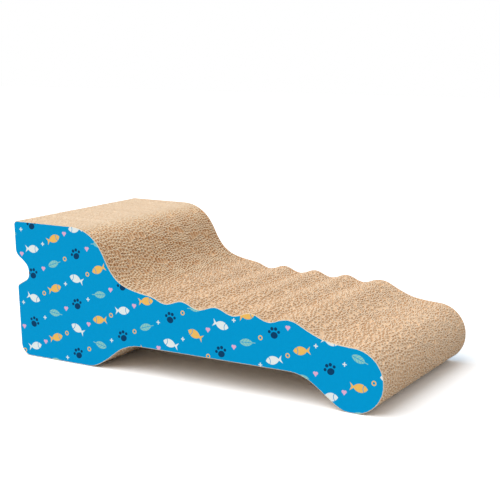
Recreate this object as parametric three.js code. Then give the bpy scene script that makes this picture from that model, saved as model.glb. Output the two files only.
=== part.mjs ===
// Reversible cat scratcher pad: a lounge-shaped block of die-cut corrugated boards that stand on edge
// and are glued face to face across the pad's width, with a printed facing on each side.
// Millimetres, +Z up. +X runs from the raised head to the rounded nose, and -Y is the near side.
// The origin lies on the floor, in the middle of the pad's length and width.
import * as THREE from 'three';

// Stack of boards across the width
const padWidth = 216; // over both facings, to the nearest whole board
const boardThickness = 4.9;
const glueLine = 0.1;
const facingThickness = 0.5;
const facingMargin = 0.4; // bare board left round the edge of the print

// Head, at the left end
const padLength = 440;
const headHeight = 149;
const headCornerRadius = 4;
const headTopLength = 106; // from the end to where the top would meet the slope
const shoulderRadius = 46;
const endSetback = 5.5; // how far the end leans in from its top to the floor
const baseCornerRadius = 13;

// Finger notch in the head's end
const notchDepth = 18.8; // from the line of the end's top
const notchLipBottom = 78;
const notchWallBottom = 87;
const notchWallTop = 100;
const notchLipTop = 113;
const notchBottomLipRadius = 4;
const notchBottomRadius = 8;
const notchTopRadius = 15;
const notchTopLipRadius = 10;

// Slope from the head down to the bed
const slopeRun = 31;
const slopeFootHeight = 93;
const slopeFootRadius = 42;

// Waved bed
const bedStart = 178.6; // from the end to the first crest
const bedHeight = 78; // middle of the waves at the last crest
const bedFall = 4.9; // how much lower the bed is at its last crest than at its first
const waveHeight = 5.4;
const waveCount = 4;
const crestLead = 6.5; // last crest to where the bed would meet the fall
const crestRadius = 26;
const fallRun = 31.9; // length of the fall from the bed to the nose's top

// Rounded nose, which is also the right foot
const noseRadius = 31.6;
const noseFlat = 12; // width of the flat that it stands on
const tailLength = 31.4; // middle of the nose back to the foot of the fall
const tailAngle = THREE.MathUtils.degToRad(4.4);
const tailRadius = 70;

// Arch between the feet
const archHeight = 30;
const leftFootLength = 108.7; // from the end to where the floor would meet the flank
const flankAngle = THREE.MathUtils.degToRad(35.8);
const archRadius = 52;
const footRadius = 37;

// Fineness of the round stretches
const arcTolerance = 0.5; // most that an arc bulges past its chords
const pointsPerWave = 6;

// Most of an edge that a rounded corner may take: nearly all, or less than half if both ends are round
const ownEdge = 0.98;
const sharedEdge = 0.49;

// Finishes: matt kraft board, and printed paper with a slight sheen
const kraft = { color: 0xc9a27a, roughness: 0.9, metalness: 0 };
const printedPaper = { color: 0x0098d4, roughness: 0.55, metalness: 0 };

const boardPitch = boardThickness + glueLine;
const roomForBoards = padWidth - 2 * facingThickness - glueLine;
const boardCount = Math.round(roomForBoards / boardPitch);
const stackWidth = boardCount * boardPitch - glueLine;

// Points of an arc round a centre, both ends included
function arcPoints(centre, radius, from, to) {
  const widestStep = 2 * Math.acos(1 - Math.min(arcTolerance / radius, 1));
  const steps = Math.max(2, Math.ceil(Math.abs(to - from) / widestStep));
  const points = [];
  for (let i = 0; i <= steps; i += 1) {
    const angle = from + ((to - from) * i) / steps;
    const spoke = new THREE.Vector2(Math.cos(angle), Math.sin(angle));
    points.push(spoke.multiplyScalar(radius).add(centre));
  }
  return points;
}

// Arc that rounds the corner between two straight edges, no wider than the room on them
function roundedCorner(back, corner, ahead, wantedRadius, room) {
  const toBack = back.clone().sub(corner).normalize();
  const toAhead = ahead.clone().sub(corner).normalize();
  const half = Math.acos(toBack.dot(toAhead)) / 2;
  const radius = Math.min(wantedRadius, room * Math.tan(half));
  const reach = radius / Math.tan(half);
  const toCentre = toBack.clone().add(toAhead).normalize();
  const centre = toCentre.multiplyScalar(radius / Math.sin(half)).add(corner);
  const start = toBack.multiplyScalar(reach).add(corner).sub(centre).angle();
  const end = toAhead.multiplyScalar(reach).add(corner).sub(centre).angle();
  const turn = Math.atan2(Math.sin(end - start), Math.cos(end - start));
  return arcPoints(centre, radius, start, start + turn);
}

// Place on the leaning end, at a height above the floor
function endPoint(height) {
  return new THREE.Vector2(endSetback * (1 - height / headHeight), height);
}

const noseCentre = new THREE.Vector2(
  padLength - noseRadius,
  Math.sqrt(noseRadius ** 2 - (noseFlat / 2) ** 2),
);
const tailFoot = new THREE.Vector2(
  noseCentre.x - tailLength,
  noseCentre.y + noseRadius / Math.cos(tailAngle) + tailLength * Math.tan(tailAngle),
);
const bedEnd = tailFoot.x - fallRun - crestLead; // the last crest

// Place on the waves, counted in waves from the first crest
function bedPoint(wave) {
  const share = wave / waveCount;
  const middle = bedHeight + bedFall * (1 - share);
  return new THREE.Vector2(
    bedStart + (bedEnd - bedStart) * share,
    middle + (waveHeight / 2) * Math.cos(2 * Math.PI * wave),
  );
}

// Waves from the last crest back to the first
function bedPoints() {
  const points = [];
  for (let i = waveCount * pointsPerWave; i >= 0; i -= 1) {
    points.push(bedPoint(i / pointsPerWave));
  }
  return points;
}

// Flank of the arch to the flat, then from the flat round the nose to the tail
function nosePoints() {
  const down = -Math.PI / 2;
  const flatAngle = Math.asin(noseFlat / 2 / noseRadius);
  const underside = arcPoints(noseCentre, noseRadius, down - flankAngle, down - flatAngle);
  const front = arcPoints(noseCentre, noseRadius, down + flatAngle, Math.PI / 2 - tailAngle);
  return [...underside, ...front];
}

// Outline of a board, anticlockwise from the base of the head's end. Each entry is a run of plain
// points, or a corner with the radius that rounds it.
function boardOutline() {
  const flankRise = Math.tan(flankAngle);
  const flankFoot = noseCentre.x - noseRadius * Math.sin(flankAngle);
  const flankFootHeight = noseCentre.y - noseRadius * Math.cos(flankAngle);
  const lastCrest = bedPoint(waveCount);
  const entries = [
    { corner: endPoint(0), radius: baseCornerRadius },
    { corner: new THREE.Vector2(leftFootLength, 0), radius: footRadius },
    { corner: new THREE.Vector2(leftFootLength + archHeight / flankRise, archHeight), radius: archRadius },
    {
      corner: new THREE.Vector2(flankFoot - (archHeight - flankFootHeight) / flankRise, archHeight),
      radius: archRadius,
    },
    { points: nosePoints() },
    { corner: tailFoot, radius: tailRadius },
    { corner: new THREE.Vector2(lastCrest.x + crestLead, lastCrest.y), radius: crestRadius },
    { points: bedPoints() },
    { corner: new THREE.Vector2(headTopLength + slopeRun, slopeFootHeight), radius: slopeFootRadius },
    { corner: new THREE.Vector2(headTopLength, headHeight), radius: shoulderRadius },
    { corner: endPoint(headHeight), radius: headCornerRadius },
    { corner: endPoint(notchLipTop), radius: notchTopLipRadius },
    { corner: new THREE.Vector2(notchDepth, notchWallTop), radius: notchTopRadius },
    { corner: new THREE.Vector2(notchDepth, notchWallBottom), radius: notchBottomRadius },
    { corner: endPoint(notchLipBottom), radius: notchBottomLipRadius },
  ];
  return entries.flatMap((entry, i) => {
    if (entry.points) return entry.points;
    const before = entries.at(i - 1);
    const after = entries[(i + 1) % entries.length];
    const back = before.corner ?? before.points.at(-1);
    const ahead = after.corner ?? after.points[0];
    const roomBack = back.distanceTo(entry.corner) * (before.corner ? sharedEdge : ownEdge);
    const roomAhead = ahead.distanceTo(entry.corner) * (after.corner ? sharedEdge : ownEdge);
    return roundedCorner(back, entry.corner, ahead, entry.radius, Math.min(roomBack, roomAhead));
  });
}

// The same outline drawn in by a margin all round
function insetOutline(outline, margin) {
  return outline.map((point, i) => {
    const before = outline.at(i - 1);
    const after = outline[(i + 1) % outline.length];
    const normalIn = point.clone().sub(before).normalize().rotateAround(new THREE.Vector2(), Math.PI / 2);
    const normalOut = after.clone().sub(point).normalize().rotateAround(new THREE.Vector2(), Math.PI / 2);
    const mitre = normalIn.clone().add(normalOut).multiplyScalar(margin / (1 + normalIn.dot(normalOut)));
    return mitre.add(point);
  });
}

// Flat sheet of an outline, standing on edge with its near face at a place across the width
function standingSheet(name, outline, thickness, nearFace, finish) {
  const shape = new THREE.Shape(outline);
  const geometry = new THREE.ExtrudeGeometry(shape, { depth: thickness, bevelEnabled: false });
  const sheet = new THREE.Mesh(geometry, new THREE.MeshStandardMaterial(finish));
  sheet.name = name;
  sheet.rotation.x = Math.PI / 2;
  sheet.position.set(-padLength / 2, nearFace + thickness, 0);
  return sheet;
}

function boardName(index) {
  if (index === 0) return 'outer_board_near';
  if (index === boardCount - 1) return 'outer_board_far';
  return `core_board_${String(index).padStart(2, '0')}`;
}

const pad = new THREE.Group();
pad.name = 'cat_scratcher_pad';

const outline = boardOutline();
for (let index = 0; index < boardCount; index += 1) {
  const nearFace = index * boardPitch - stackWidth / 2;
  pad.add(standingSheet(boardName(index), outline, boardThickness, nearFace, kraft));
}

const printOutline = insetOutline(outline, facingMargin);
const facingPlaces = {
  printed_facing_near: -stackWidth / 2 - glueLine - facingThickness,
  printed_facing_far: stackWidth / 2 + glueLine,
};
for (const [name, nearFace] of Object.entries(facingPlaces)) {
  pad.add(standingSheet(name, printOutline, facingThickness, nearFace, printedPaper));
}

export default pad;
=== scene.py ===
import math
import random

import bmesh
import bpy
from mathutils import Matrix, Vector, geometry, noise


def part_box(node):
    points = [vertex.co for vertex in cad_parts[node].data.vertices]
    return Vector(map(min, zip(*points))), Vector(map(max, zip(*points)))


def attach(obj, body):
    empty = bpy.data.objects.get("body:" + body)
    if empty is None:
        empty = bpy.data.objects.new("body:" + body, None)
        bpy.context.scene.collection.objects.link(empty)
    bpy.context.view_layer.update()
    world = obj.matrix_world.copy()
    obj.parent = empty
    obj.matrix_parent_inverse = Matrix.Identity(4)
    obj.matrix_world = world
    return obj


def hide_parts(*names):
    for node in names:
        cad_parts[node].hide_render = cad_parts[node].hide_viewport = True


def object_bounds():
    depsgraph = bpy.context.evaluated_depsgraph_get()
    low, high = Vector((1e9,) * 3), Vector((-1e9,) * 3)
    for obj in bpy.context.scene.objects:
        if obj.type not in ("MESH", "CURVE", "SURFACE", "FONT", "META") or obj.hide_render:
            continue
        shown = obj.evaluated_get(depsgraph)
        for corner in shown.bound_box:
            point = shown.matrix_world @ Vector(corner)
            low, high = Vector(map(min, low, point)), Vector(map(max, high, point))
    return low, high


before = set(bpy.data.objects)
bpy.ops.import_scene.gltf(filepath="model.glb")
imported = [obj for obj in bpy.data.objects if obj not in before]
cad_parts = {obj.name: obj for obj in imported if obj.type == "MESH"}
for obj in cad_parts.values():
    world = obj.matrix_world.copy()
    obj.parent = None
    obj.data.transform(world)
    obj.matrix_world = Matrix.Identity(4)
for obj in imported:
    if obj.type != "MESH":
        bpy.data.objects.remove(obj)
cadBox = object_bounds()
print("frame loaded,", len(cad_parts), "nodes")


# Camera, at the photograph's viewing angle
cameraView = {
    "place": (0.615, -1.0172, 0.3361),
    "tilt": 79.69,  # degrees from looking straight down
    "turn": 30.55,  # degrees to the left of looking along +Y
    "focal": 80.9,
}


def placeCamera():
    data = bpy.data.cameras.new("padCamera")
    data.lens = cameraView["focal"]
    data.clip_end = 50
    camera = bpy.data.objects.new("padCamera", data)
    camera.location = cameraView["place"]
    camera.rotation_euler = (math.radians(cameraView["tilt"]), 0, math.radians(cameraView["turn"]))
    bpy.context.scene.collection.objects.link(camera)
    bpy.context.scene.camera = camera


placeCamera()
print("camera placed")


# Shader maths: a wire is one socket, and an expression on wires adds Math nodes
class Wire:
    def __init__(self, tree, socket=None):
        self.tree = tree
        self.socket = socket

    def node(self, kind, settings=None, inputs=None, output=0):
        made = self.tree.nodes.new(kind)
        for name, value in (settings or {}).items():
            setattr(made, name, value)
        for name, value in (inputs or {}).items():
            if isinstance(value, Wire):
                self.tree.links.new(value.socket, made.inputs[name])
            else:
                made.inputs[name].default_value = value
        return Wire(self.tree, made.outputs[output])

    def math(self, operation, *values):
        return self.node("ShaderNodeMath", {"operation": operation}, dict(enumerate(values)))

    def join(self, source, shader, name):  # leads a wire into one of the shader's sockets
        self.tree.links.new(source.socket, shader.inputs[name])

    def __add__(self, other):
        return self.math("ADD", self, other)

    def __sub__(self, other):
        return self.math("SUBTRACT", self, other)

    def __rsub__(self, other):
        return self.math("SUBTRACT", other, self)

    def __mul__(self, other):
        return self.math("MULTIPLY", self, other)

    def __truediv__(self, other):
        return self.math("DIVIDE", self, other)

    __radd__ = __add__
    __rmul__ = __mul__


def linear(red, green, blue):  # colour as a paint chart gives it, from 0 to 255
    parts = [c / 255 for c in (red, green, blue)]
    return tuple(c / 12.92 if c <= 0.04045 else ((c + 0.055) / 1.055) ** 2.4 for c in parts) + (1.0,)


def mixColour(factor, first, second):
    return factor.node("ShaderNodeMix", {"data_type": "RGBA"}, {0: factor, 6: first, 7: second}, 2)


def newMaterial(name):  # material, its shader and a wire to build from
    material = bpy.data.materials.new(name)
    material.use_nodes = True
    shader = material.node_tree.nodes["Principled BSDF"]
    return material, shader, Wire(material.node_tree)


def softStep(value, low, high):  # 0 below the first number, 1 above the second
    settings = {"interpolation_type": "SMOOTHSTEP"}
    return value.node("ShaderNodeMapRange", settings, {0: value, 1: low, 2: high})


def noiseOn(wire, coords, scale, detail):
    return wire.node("ShaderNodeTexNoise", {}, {"Vector": coords, "Scale": scale, "Detail": detail})


# Kraft board: pale frayed fibres on the cut edges, browner paper inside the cells, whose darker tone is
# partly the paper's own colour and partly painted shade in the cells
kraftLook = {
    "edge": (linear(250, 229, 203), linear(234, 207, 175)),
    # the inside tones are darker than the edge tones: browner paper plus painted shade in the cells,
    # strongest on the worn slope
    "inside": (linear(248, 223, 192), linear(228, 199, 165)),
    "wornEdge": (linear(255, 241, 214), linear(254, 230, 197)),  # on the scratched slope
    "wornInsideWithShade": (linear(250, 219, 180), linear(232, 197, 156)),
    "fleck": linear(178, 134, 94),
    "fleckShare": 0.5,
    "fleckSize": 1500,
    "fleckFrom": 0.66,
    "fleckFade": 0.1,
    "boardStretch": (5, 190, 5),  # the tone runs along a board and changes from one to the next
    "toneShare": 0.9,
    "toneShift": 0.15,  # more of it moves the mix towards the first of two tones
    "fibreSize": 700,
    "fibreShare": 0.7,
    "roughness": 0.9,
    "roughSpread": 0.12,
    "tooth": 0.25,
    "toothHeight": 0.0003,
    "gloss": 0.2,
}


def kraftBoard(name, tones, wornTones):
    look = kraftLook
    material, shader, wire = newMaterial(name)
    coords = wire.node("ShaderNodeTexCoord", output="Object")
    worn = wire.node("ShaderNodeAttribute", {"attribute_name": "worn"}, output="Fac")
    stretched = wire.node("ShaderNodeMapping", {}, {"Vector": coords, "Scale": look["boardStretch"]})
    tone = noiseOn(wire, stretched, 1, 1)
    fibre = noiseOn(wire, coords, look["fibreSize"], 3)
    fleck = noiseOn(wire, coords, look["fleckSize"], 1)
    middle = (look["toneShare"] + look["fibreShare"] - 1) / 2 + look["toneShift"]
    shade = tone * look["toneShare"] + fibre * look["fibreShare"] - middle
    paper = mixColour(worn, mixColour(shade, *tones), mixColour(shade, *wornTones))
    flecks = softStep(fleck, look["fleckFrom"], look["fleckFrom"] + look["fleckFade"])
    wire.join(mixColour(flecks * look["fleckShare"], paper, look["fleck"]), shader, "Base Color")
    wire.join(look["roughness"] + (fibre - 0.5) * look["roughSpread"], shader, "Roughness")
    bumps = {"Height": fibre, "Strength": look["tooth"], "Distance": look["toothHeight"]}
    wire.join(wire.node("ShaderNodeBump", {}, bumps), shader, "Normal")
    shader.inputs["Specular IOR Level"].default_value = look["gloss"]
    return material


kraftEdge = kraftBoard("kraftEdge", kraftLook["edge"], kraftLook["wornEdge"])
# darker paper for cell walls, liners and the closed inside: browner paper with painted shade of the
# cells
kraftInsideWithShade = kraftBoard("kraftInsideWithShade", kraftLook["inside"], kraftLook["wornInsideWithShade"])


# Print: a plain half-drop pattern of fish, paws and leaves, with small marks between them
printLook = {
    "ground": (linear(0, 157, 215), linear(0, 163, 221)),
    "groundSize": 260,
    "amber": linear(252, 198, 104),
    "white": linear(240, 248, 246),
    "mint": linear(146, 211, 204),
    "navy": linear(12, 66, 106),
    "pink": linear(240, 184, 216),
    "column": 30.0,  # width of a cell, in millimetres like the motifs
    "row": 27.0,
    "start": (900, 906),  # far enough out that every cell counts up from zero
    "tilt": 0.9,  # widest swing of a motif, in radians
    "soft": 0.3,  # width of a printed edge
    "bare": linear(238, 228, 212),  # paper under the ink
    "rubFrom": 0.85,  # how near the rim the ink is rubbed off, where 1 is the rim itself
    "rubNoise": 0.7,
    "rubSize": 350,
    "rubRough": 0.3,
    "roughness": 0.46,
    "roughSpread": 0.16,
    "fibreSize": 900,
    "washboard": 5.4,  # length of the flutes that show faintly through the paper
    "washShare": 0.5,
    "bump": 0.12,
    "bumpHeight": 0.00004,
    "gloss": 0.03,
}


# Sizes of the motifs, in millimetres from the middle of each
motifSizes = {
    "fishBody": (7.5, 4.2),  # half length, half height
    "fishBack": 1.5,  # how far the body lies towards the head
    "fishTail": (4.4, 7.8),
    "tailFlare": 0.8,
    "tailFork": 0.4,
    "gill": (-9.5, 0, 5.4),  # middle and radius
    "gillLine": 0.35,
    "pad": (0, -2.4, 3.3),
    "padStretch": 0.85,
    "innerToe": (2.0, 3.9, 1.75),
    "outerToe": (5.1, 0.9, 1.55),
    "leafBlade": (7.5, 3.7),
    "leafBack": 1,
    "ribLine": 0.3,
    "ribSlant": 0.9,
    "ribGap": 1.7,
    "sideRibLine": 0.2,
    "stalk": (7, 2.4, 0.35),  # middle, half length, half width
    "ring": 1.9,
    "ringLine": 0.55,
    "lobe": (1.15, 0.75, 1.45),
    "wedge": (0.78, 0.62, 1.75),  # the straight side's direction and distance
    "wedgeTop": 0.7,
    "cross": (0.55, 2.1),  # half width and half length of an arm
}


def lensShape(along, across, halfLength, halfHeight):  # distance to a pointed oval
    radius = (halfLength ** 2 + halfHeight ** 2) / (2 * halfHeight)
    lift = across.math("ABSOLUTE", across) + (radius - halfHeight)
    return along.math("SQRT", along * along + lift * lift) - radius


def discShape(along, across, x, y, radius):
    return along.math("SQRT", (along - x) * (along - x) + (across - y) * (across - y)) - radius


def smaller(first, second):
    return first.math("MINIMUM", first, second)


def larger(first, second):
    return first.math("MAXIMUM", first, second)


def fishShape(along, across):
    sizes = motifSizes
    spread = across.math("ABSOLUTE", across)
    root, tip = sizes["fishTail"]
    flare = spread - (along - root) * sizes["tailFlare"]
    tail = larger(flare, along - spread * sizes["tailFork"] - tip)
    gill = discShape(along, across, *sizes["gill"])
    gillLine = gill.math("ABSOLUTE", gill) - sizes["gillLine"]
    body = lensShape(along + sizes["fishBack"], across, *sizes["fishBody"])
    return larger(smaller(body, tail), 0 - gillLine)


def pawShape(along, across):
    sizes = motifSizes
    spread = along.math("ABSOLUTE", along)
    pad = discShape(along * sizes["padStretch"], across, *sizes["pad"])
    innerToes = discShape(spread, across, *sizes["innerToe"])
    outerToes = discShape(spread, across, *sizes["outerToe"])
    return smaller(pad, smaller(innerToes, outerToes))


def leafShape(along, across):
    sizes = motifSizes
    spread = across.math("ABSOLUTE", across)
    blade = lensShape(along + sizes["leafBack"], across, *sizes["leafBlade"])
    slant = along - spread * sizes["ribSlant"] + 60  # above zero all over the leaf
    sideRibs = slant.math("PINGPONG", slant, sizes["ribGap"]) - sizes["sideRibLine"]
    ribs = smaller(spread - sizes["ribLine"], sideRibs)
    middle, halfLength, halfWidth = sizes["stalk"]
    stalk = larger(spread - halfWidth, along.math("ABSOLUTE", along - middle) - halfLength)
    return smaller(larger(blade, 0 - ribs), stalk)


def ringShape(along, across):
    ring = discShape(along, across, 0, 0, motifSizes["ring"])
    return ring.math("ABSOLUTE", ring) - motifSizes["ringLine"]


def heartShape(along, across):
    spread = along.math("ABSOLUTE", along)
    lobe = discShape(spread, across, *motifSizes["lobe"])
    sideways, down, out = motifSizes["wedge"]
    wedge = larger(spread * sideways - across * down - out, across - motifSizes["wedgeTop"])
    return smaller(lobe, wedge)


def crossShape(along, across):
    halfWidth, halfLength = motifSizes["cross"]
    first = along.math("ABSOLUTE", along)
    second = across.math("ABSOLUTE", across)
    upright = larger(first - halfWidth, second - halfLength)
    level = larger(second - halfWidth, first - halfLength)
    return smaller(upright, level)


def halfDropCells(wire, u, v):  # column, row and place in a cell, with odd columns half a row lower
    across = u / printLook["column"]
    column = wire.math("FLOOR", across)
    up = v / printLook["row"] + wire.math("FLOORED_MODULO", column, 2) * 0.5
    row = wire.math("FLOOR", up)
    along = (across - column - 0.5) * printLook["column"]
    rise = (up - row - 0.5) * printLook["row"]
    return column, row, along, rise


def printMotifs(wire, colour, kind, motifs):
    for number, (shape, ink) in enumerate(motifs):
        chosen = wire.math("COMPARE", kind, number, 0.5)
        edge = wire.node("ShaderNodeClamp", {}, {0: 0.5 - shape / printLook["soft"]})
        colour = mixColour(edge * chosen, colour, printLook[ink])
    return colour


def printDesign(wire, coords):
    look = printLook
    places = wire.node("ShaderNodeSeparateXYZ", {}, {0: coords})
    height = Wire(wire.tree, places.socket.node.outputs["Z"])
    u = places * 1000 + look["start"][0]  # metres to millimetres
    v = height * 1000 + look["start"][1]
    ground = noiseOn(wire, coords, look["groundSize"], 2)
    colour = mixColour(ground, *look["ground"])
    column, row, along, rise = halfDropCells(wire, u, v)
    cell = wire.node("ShaderNodeCombineXYZ", {}, {0: column, 1: row})
    chance = wire.node("ShaderNodeTexWhiteNoise", {"noise_dimensions": "2D"}, {"Vector": cell})
    angle = (chance - 0.5) * look["tilt"]
    cosine = wire.math("COSINE", angle)
    sine = wire.math("SINE", angle)
    turned = along * cosine + rise * sine
    lifted = rise * cosine - along * sine
    flip = wire.math("FLOORED_MODULO", row, 2) * 2 - 1
    kind = wire.math("FLOORED_MODULO", column + row * 2, 4)
    fish = fishShape(turned * flip, lifted)
    motifs = [
        (fish, "amber"),
        (pawShape(turned, lifted), "navy"),
        (leafShape(turned * flip, lifted), "mint"),
        (fish, "white"),
    ]
    colour = printMotifs(wire, colour, kind, motifs)
    column, row, along, rise = halfDropCells(wire, u + look["column"] / 2, v + look["row"] / 4)
    kind = wire.math("FLOORED_MODULO", column + row, 3)
    marks = [
        (ringShape(along, rise), "amber"),
        (heartShape(along, rise), "pink"),
        (crossShape(along, rise), "white"),
    ]
    return printMotifs(wire, colour, kind, marks)


def printedPaper():
    look = printLook
    material, shader, wire = newMaterial("printedPaper")
    coords = wire.node("ShaderNodeTexCoord", output="Object")
    rim = wire.node("ShaderNodeAttribute", {"attribute_name": "worn"}, output="Fac")
    patch = noiseOn(wire, coords, look["rubSize"], 2)
    rubbed = softStep(rim + (patch - 0.5) * look["rubNoise"], look["rubFrom"], 1)
    wire.join(mixColour(rubbed, printDesign(wire, coords), look["bare"]), shader, "Base Color")
    fibre = noiseOn(wire, coords, look["fibreSize"], 2)
    rough = look["roughness"] + (patch - 0.5) * look["roughSpread"] + rubbed * look["rubRough"]
    wire.join(rough, shader, "Roughness")
    along = wire.node("ShaderNodeSeparateXYZ", {}, {0: coords})
    flutes = wire.math("SINE", along * (2000 * math.pi / look["washboard"]))
    height = fibre + flutes * look["washShare"]
    bumps = {"Height": height, "Strength": look["bump"], "Distance": look["bumpHeight"]}
    wire.join(wire.node("ShaderNodeBump", {}, bumps), shader, "Normal")
    shader.inputs["Specular IOR Level"].default_value = look["gloss"]
    return material


printPaper = printedPaper()
print("materials mixed")


# Outline shared by the boards, read from the frame and rounded off between its corners
rimStyle = {
    "merge": 1e-6,
    "flat": 0.002,  # faces that turn less than this, in radians, are one face
    "straight": 2.0,  # a side this much longer than the next one is a straight run
    "fine": 12,  # steps between two corners before the spacing is evened out
}


def rimCorners(node):  # corners of a standing sheet, anticlockwise as seen from the near side
    bm = bmesh.new()
    bm.from_mesh(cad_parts[node].data)
    bmesh.ops.remove_doubles(bm, verts=bm.verts, dist=rimStyle["merge"])
    bmesh.ops.dissolve_limit(bm, angle_limit=rimStyle["flat"], verts=bm.verts, edges=bm.edges)
    bm.normal_update()
    nearFace = min(bm.faces, key=lambda face: face.normal.y)
    corners = [Vector((v.co.x, 0, v.co.z)) for v in nearFace.verts]
    bm.free()
    return corners


def cornerHeading(back, ahead):  # direction in which the outline passes a corner
    if back.length > rimStyle["straight"] * ahead.length:
        return back.normalized()
    if ahead.length > rimStyle["straight"] * back.length:
        return ahead.normalized()
    return (back.normalized() * ahead.length + ahead.normalized() * back.length).normalized()


def smoothRim(corners, low, high):  # fine closed outline through the corners, inside the sheet's box
    sides = [b - a for a, b in zip(corners, corners[1:] + corners[:1])]
    headings = [cornerHeading(sides[i - 1], sides[i]) for i in range(len(sides))]
    fine = []
    for i, side in enumerate(sides):
        j = (i + 1) % len(sides)
        pull = side.length / 3
        curve = geometry.interpolate_bezier(
            corners[i], corners[i] + headings[i] * pull, corners[j] - headings[j] * pull, corners[j],
            rimStyle["fine"] + 1,
        )
        fine += curve[:-1]
    for point in fine:
        point.x = min(max(point.x, low.x), high.x)
        point.z = min(max(point.z, low.z), high.z)
    return fine


def evenRim(fine, count):  # points evenly spaced along the outline, each with its inward direction
    lengths = [(b - a).length for a, b in zip(fine, fine[1:] + fine[:1])]
    step = sum(lengths) / count
    points = []
    at, passed = 0, 0.0
    for i in range(count):
        while passed + lengths[at] < i * step:
            passed += lengths[at]
            at += 1
        share = (i * step - passed) / lengths[at]
        points.append(fine[at].lerp(fine[(at + 1) % len(fine)], share))
    inwards = []
    for i in range(count):
        along = (points[(i + 1) % count] - points[i - 1]).normalized()
        inwards.append(Vector((-along.z, 0, along.x)))
    return points, inwards


def rimLength(fine):
    return sum((b - a).length for a, b in zip(fine, fine[1:] + fine[:1]))


# Fluted board: two flat liners, a fluted sheet between them, and the closed inside of the board
boardStyle = {
    "liner": 0.00025,
    "linerDip": (0.0014, 0.0012),  # how far a liner stands back between two boards: unworn, worn
    "medium": 0.0009,  # the cut edge of the fluted sheet, spread by the cut
    "flute": 0.0054,  # length of one flute along the rim
    "fluteSpread": 0.02,  # how much that differs from board to board
    "samples": 10,  # points along one flute
    "steep": 1.6,  # 1 is a plain sine, and more makes the flute's legs steeper
    "crestDip": (0.0010, 0.0022),  # how far a flute's crest stands back at the liner: unworn, worn
    "crestSharp": 8,  # the higher, the shorter the dip
    "cellDepth": (0.0020, 0.0044),  # unworn, worn
    "topShare": 0.12,  # share of that depth left on the head's smooth top
    "topFrom": 0.022,  # how far below the top the cells start to close
    "linerStep": 0.002,  # spacing of the points round a liner
    "wornFrom": -0.128,  # the slope, from the shoulder to its foot
    "wornTo": -0.058,
    "wornFade": 0.020,  # length over which the wear sets in
    "wornAbove": 0.06,  # height below which nothing is worn
    "stagger": 0.0014,  # how far the flutes of the worn slope move along from one board to the next
    "slip": 3.14,  # most that the flutes slip from one board to the next, in radians
    "wornDrift": 9.0,  # drift of the flutes on the worn slope, in radians
    "wornBoards": 2.5,  # boards that drift alike there
    "wornLength": 0.012,  # length of one such drift along the rim
    "wander": 8.0,  # drift of the unworn flutes along a board, in radians
    "wanderLength": 0.008,  # length of one such drift along the rim
    "wanderApart": 1.37,  # step between the drifts of two boards, so that they differ
    "ragged": 0.0005,  # how far the cut edge of the fluted sheet dips
    "raggedLength": 0.004,
    "proudShare": 20,  # one corner in this many may stand proud of the fluted sheet on each side
    "seed": 5,
}
edgePaper = 0  # a board's materials, in their order
# slot of the darker inside paper, which carries painted shade in the cells
shadedInsidePaper = 1


def addSlab(bm, outline, near, far, rimPaper, facePaper):  # closed slab of an outline
    rim = [bm.verts.new((p.x, near, p.z)) for p in outline]
    face = bm.faces.new(rim)
    face.material_index = facePaper
    grown = bmesh.ops.extrude_face_region(bm, geom=[face])["geom"]
    moved = [v for v in grown if isinstance(v, bmesh.types.BMVert)]
    bmesh.ops.translate(bm, verts=moved, vec=(0, far - near, 0))
    for edge in face.edges:
        for wall in edge.link_faces:
            if wall is not face:
                wall.material_index = rimPaper


def smoothStep(value):  # 0 to 1, with soft ends
    value = min(max(value, 0), 1)
    return value * value * (3 - 2 * value)


def between(pair, share):
    return pair[0] + (pair[1] - pair[0]) * share


def openShare(point):  # how open the cells are: fully on the slope and bed, little on the head's top
    rise = (point.z - cadBox[1].z) / boardStyle["topFrom"] + 1
    return between((1, boardStyle["topShare"]), smoothStep(rise))


def wornShare(point):  # 1 on the scratched slope, 0 away from it
    style = boardStyle
    if point.z < style["wornAbove"]:
        return 0
    inside = min(point.x - style["wornFrom"], style["wornTo"] - point.x)
    return smoothStep(inside / style["wornFade"] + 0.5)


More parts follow.
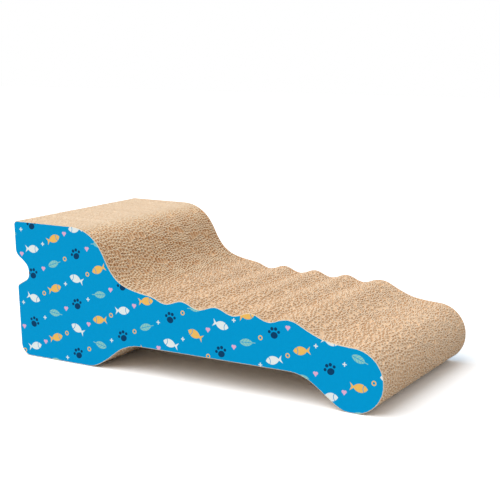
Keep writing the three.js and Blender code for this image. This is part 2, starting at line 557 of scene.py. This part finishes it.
def addFlutes(bm, rim, box, near, far, slip, stagger, index):  # fluted sheet between the liners
    style = boardStyle
    points, inwards = rim
    count = len(points)
    flutes = count // style["samples"]
    middle = (near + far) / 2
    swing = (far - near - style["medium"]) / 2
    before = set(bm.verts)
    edgeVerts = []
    for i, (point, inward) in enumerate(zip(points, inwards)):
        worn = wornShare(point)
        slow = point / style["wanderLength"]
        slow.y = index * style["wanderApart"]
        shared = point / style["wornLength"]
        shared.y = index / style["wornBoards"]
        quick = point / style["raggedLength"]
        quick.y = index
        turn = 2 * math.pi * flutes * i / count + index * math.pi  # a crest meets a hollow
        unwornTurn = slip + style["wander"] * noise.noise(slow)
        wornTurn = stagger + style["wornDrift"] * noise.noise(shared)
        turn += between((unwornTurn, wornTurn), worn)
        wave = min(max(style["steep"] * math.sin(turn), -1), 1)
        y = middle + swing * wave
        dip = style["ragged"] * (0.5 + 0.5 * noise.noise(quick))
        dip += between(style["crestDip"], worn) * abs(wave) ** style["crestSharp"]
        dip *= openShare(point)
        lean = worn * (middle - y) * style["stagger"] / (far - near)
        edgeVerts.append(
            bm.verts.new((
                point.x + inward.x * dip + inward.z * lean,
                y,
                point.z + inward.z * dip - inward.x * lean,
            ))
        )
    edges = [bm.edges.new((edgeVerts[i - 1], edgeVerts[i])) for i in range(count)]
    grown = bmesh.ops.extrude_edge_only(bm, edges=edges)["geom"]
    walls = [f for f in grown if isinstance(f, bmesh.types.BMFace)]
    wallSet = set(walls)
    inner = {v for v in grown if isinstance(v, bmesh.types.BMVert)}
    for vert, inward in zip(edgeVerts, inwards):
        for edge in vert.link_edges:
            other = edge.other_vert(vert)
            if other in inner:
                other.co += inward * (between(style["cellDepth"], wornShare(vert.co)) + style["medium"])
    # cell walls take the darker inside paper with its painted shade
    for wall in walls:
        wall.material_index = shadedInsidePaper
    bmesh.ops.recalc_face_normals(bm, faces=walls)
    bmesh.ops.solidify(bm, geom=walls, thickness=style["medium"])
    for edge in edges:
        for face in edge.link_faces:
            if face not in wallSet:
                face.material_index = edgePaper
    sheet = [v for v in bm.verts if v not in before]
    heights = sorted(v.co.y for v in sheet)
    few = len(heights) // style["proudShare"]
    bmesh.ops.translate(bm, verts=sheet, vec=(0, middle - (heights[few] + heights[-few]) / 2, 0))
    low, high = box
    for vert in sheet:
        vert.co.x = min(max(vert.co.x, low.x), high.x)
        vert.co.y = min(max(vert.co.y, near), far)
        vert.co.z = min(max(vert.co.z, low.z), high.z)


def finishPiece(name, bm, materials, node):
    bmesh.ops.recalc_face_normals(bm, faces=bm.faces)
    mesh = bpy.data.meshes.new(name)
    bm.to_mesh(mesh)
    bm.free()
    for material in materials:
        mesh.materials.append(material)
    piece = bpy.data.objects.new(name, mesh)
    bpy.context.scene.collection.objects.link(piece)
    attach(piece, "root")
    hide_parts(node)


def makeBoards():
    style = boardStyle
    nodes = sorted((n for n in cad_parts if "board" in n), key=lambda n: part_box(n)[0].y)
    low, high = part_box(nodes[0])
    fine = smoothRim(rimCorners(nodes[0]), low, high)
    around = rimLength(fine)
    linerRim, linerIn = evenRim(fine, round(around / style["linerStep"]))
    dippedRim = []
    heart = []
    for point, inward in zip(linerRim, linerIn):
        worn = wornShare(point)
        share = openShare(point)
        dippedRim.append(point + inward * share * between(style["linerDip"], worn))
        heart.append(point + inward * share * between(style["cellDepth"], worn))
    draw = random.Random(style["seed"])
    for index, node in enumerate(nodes):
        near, far = (corner.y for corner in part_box(node))
        inNear = near + style["liner"]
        inFar = far - style["liner"]
        bm = bmesh.new()
        wornLayer = bm.verts.layers.float.new("worn")
        nearRim = linerRim if index == 0 else dippedRim
        farRim = linerRim if index == len(nodes) - 1 else dippedRim
        half = style["liner"] / 2
        # liner faces and the closed inside take the darker inside paper with its painted shade
        addSlab(bm, nearRim, near, inNear, edgePaper, shadedInsidePaper)
        addSlab(bm, farRim, inFar, far, edgePaper, shadedInsidePaper)
        addSlab(bm, heart, near + half, far - half, shadedInsidePaper, shadedInsidePaper)
        flute = style["flute"] * (1 + draw.uniform(-style["fluteSpread"], style["fluteSpread"]))
        fluteRim = evenRim(fine, round(around / flute) * style["samples"])
        slip = draw.uniform(-style["slip"], style["slip"])
        stagger = math.remainder(index * 2 * math.pi * style["stagger"] / flute, 2 * math.pi)
        addFlutes(bm, fluteRim, (low, high), inNear, inFar, slip, stagger, index)
        for vert in bm.verts:
            vert[wornLayer] = wornShare(vert.co)
        finishPiece(f"fluted_board_{index + 1:02d}", bm, [kraftEdge, kraftInsideWithShade], node)
    print("boards made:", len(nodes), "rim", round(around, 4))


makeBoards()


# Printed facings: thin sheets with a rounded bare edge, and a rim where the ink is rubbed
facingStyle = {
    "step": 0.002,  # spacing of the points round a sheet
    "edge": 0.00015,  # width of the rounded edge
    "rim": 0.0012,
}
printFace = 0  # a facing's materials, in their order
bareEdge = 1


def makeFacing(node, name, outside):
    low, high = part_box(node)
    fine = smoothRim(rimCorners(node), low, high)
    outline = evenRim(fine, round(rimLength(fine) / facingStyle["step"]))[0]
    bm = bmesh.new()
    wornLayer = bm.verts.layers.float.new("worn")
    addSlab(bm, outline, low.y, high.y, bareEdge, bareEdge)
    bmesh.ops.recalc_face_normals(bm, faces=bm.faces)
    front = max(bm.faces, key=lambda face: face.normal.y * outside)
    bmesh.ops.bevel(
        bm, geom=list(front.edges), offset=facingStyle["edge"],
        segments=2, profile=0.5, affect="EDGES", material=-1,
    )
    front = max(bm.faces, key=lambda face: face.normal.y * outside * face.calc_area())
    inset = bmesh.ops.inset_region(bm, faces=[front], thickness=facingStyle["rim"], use_even_offset=True)
    for face in [front] + inset["faces"]:
        face.material_index = printFace
    for vert in bm.verts:
        vert[wornLayer] = 1
    for vert in front.verts:
        vert[wornLayer] = 0
    finishPiece(name, bm, [printPaper, kraftEdge], node)


makeFacing("printed_facing_near", "print_sheet_near", -1)
makeFacing("printed_facing_far", "print_sheet_far", 1)
print("facings made")


# Studio: pale floor, even soft sky and a wide soft sun from the upper left
studio = {
    "floorSize": 12.0,
    "floorDrop": 0.0002,
    "floorBounce": 0.7,
    "floorSeen": (1.38, 1.40, 1.42),  # a little blue, against the brown that the board throws on it
    "sky": 0.46,
    "sunFrom": (-0.4, -0.5, 0.9),
    "sunOnTop": 0.54,  # what the sun adds on a level surface
    "sunSpread": 70,  # degrees
}


def cameraSees(wire):  # 1 where the camera looks straight, or by a mirror or a glass
    path = wire.node("ShaderNodeLightPath", output="Is Camera Ray")
    owner = path.socket.node
    glossy = Wire(wire.tree, owner.outputs["Is Glossy Ray"])
    through = Wire(wire.tree, owner.outputs["Is Transmission Ray"])
    return path.math("MAXIMUM", path, glossy.math("MAXIMUM", glossy, through))


def makeFloor():
    bm = bmesh.new()
    bmesh.ops.create_grid(bm, x_segments=1, y_segments=1, size=studio["floorSize"] / 2)
    bmesh.ops.translate(bm, verts=bm.verts, vec=(0, 0, -studio["floorDrop"]))
    mesh = bpy.data.meshes.new("studioFloor")
    bm.to_mesh(mesh)
    bm.free()
    material, shader, wire = newMaterial("studioFloor")
    seen = cameraSees(wire)
    bounce = (studio["floorBounce"],) * 3 + (1.0,)
    bright = studio["floorSeen"] + (1.0,)
    wire.join(mixColour(seen, bounce, bright), shader, "Base Color")
    shader.inputs["Roughness"].default_value = 1
    shader.inputs["Specular IOR Level"].default_value = 0
    mesh.materials.append(material)
    floor = bpy.data.objects.new("studioFloor", mesh)
    bpy.context.scene.collection.objects.link(floor)


def lightStudio():
    world = bpy.data.worlds.new("studioSky")
    world.use_nodes = True
    bpy.context.scene.world = world
    wire = Wire(world.node_tree)
    strength = studio["sky"] + cameraSees(wire) * (1 - studio["sky"])
    sky = world.node_tree.nodes["Background"]
    sky.inputs["Color"].default_value = (1, 1, 1, 1)
    wire.join(strength, sky, "Strength")
    toSun = Vector(studio["sunFrom"]).normalized()
    data = bpy.data.lights.new("studioSun", "SUN")
    data.energy = math.pi * studio["sunOnTop"] / toSun.z
    data.angle = math.radians(studio["sunSpread"])
    sun = bpy.data.objects.new("studioSun", data)
    sun.rotation_euler = (-toSun).to_track_quat("-Z", "Y").to_euler()
    bpy.context.scene.collection.objects.link(sun)
    bpy.context.scene.view_settings.view_transform = "Standard"


makeFloor()
lightStudio()
print("studio lit")
